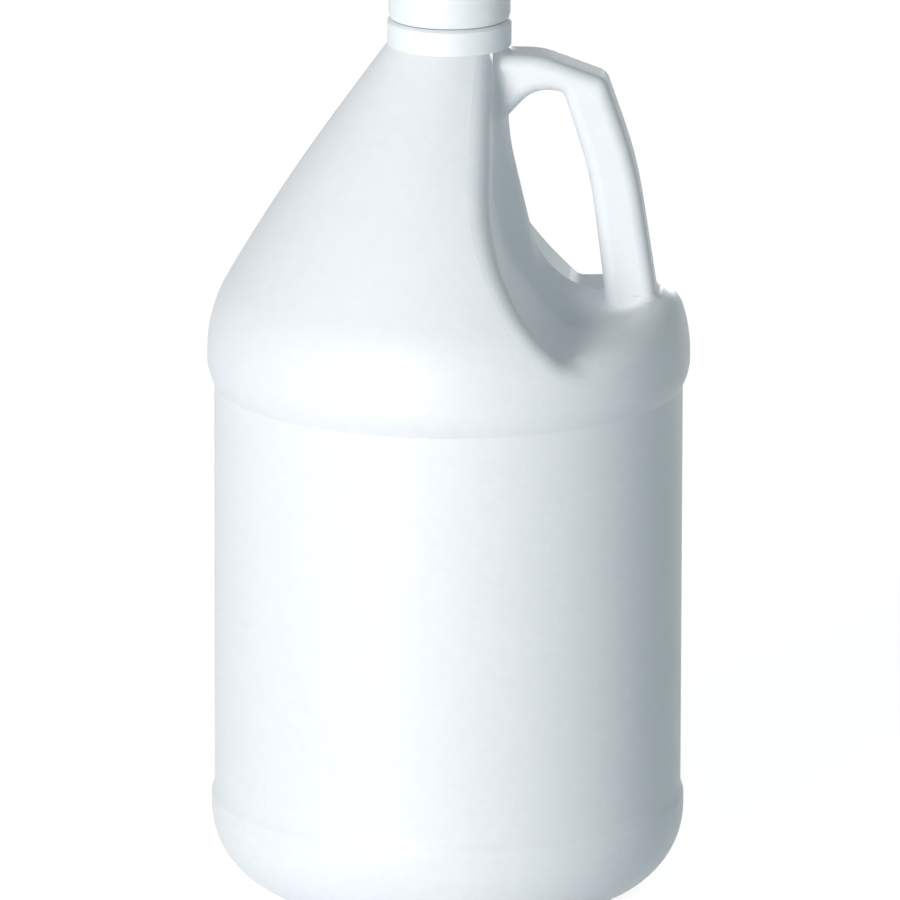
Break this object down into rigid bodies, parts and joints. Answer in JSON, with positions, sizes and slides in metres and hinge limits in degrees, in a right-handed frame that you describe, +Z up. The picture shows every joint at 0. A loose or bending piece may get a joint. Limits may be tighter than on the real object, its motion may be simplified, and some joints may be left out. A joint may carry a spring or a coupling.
{
  "type": "plastic gallon jug",
  "caption": "White blow-moulded plastic jug with a round body, sloping shoulder, hollow side handle and a plain screw cap.",
  "frame": {"origin": "middle of the standing ring, on the surface that the jug stands on", "axes": "+Z up along the axis of the round body and the neck, +X towards the handle, XZ is the parting plane of the mould"},
  "size_m": [0.1556, 0.1556, 0.2996],
  "materials": {
    "jug_plastic": "satin white polyethylene",
    "cap_plastic": "satin white polypropylene",
    "liner_foam": "matte white foam"
  },
  "bodies": {
    "jug": {"jug_body": "jug_plastic"},
    "liner": {"cap_liner": "liner_foam"},
    "cap": {"cap": "cap_plastic"}
  },
  "joints": [
    {"name": "cap_lift", "type": "slide", "parent": "jug", "child": "liner", "axis": [0, 0, 1], "range_m": [0, 0.0255]},
    {"name": "cap_turn", "type": "hinge", "parent": "liner", "child": "cap", "pos_m": [0, 0, 0.2931], "axis": [0, 0, 1], "range_deg": [0, 2160]}
  ],
  "couplings": [
    {"joint": "cap_lift", "follows": "cap_turn", "m_per_rad": 0.00067375}
  ]
}
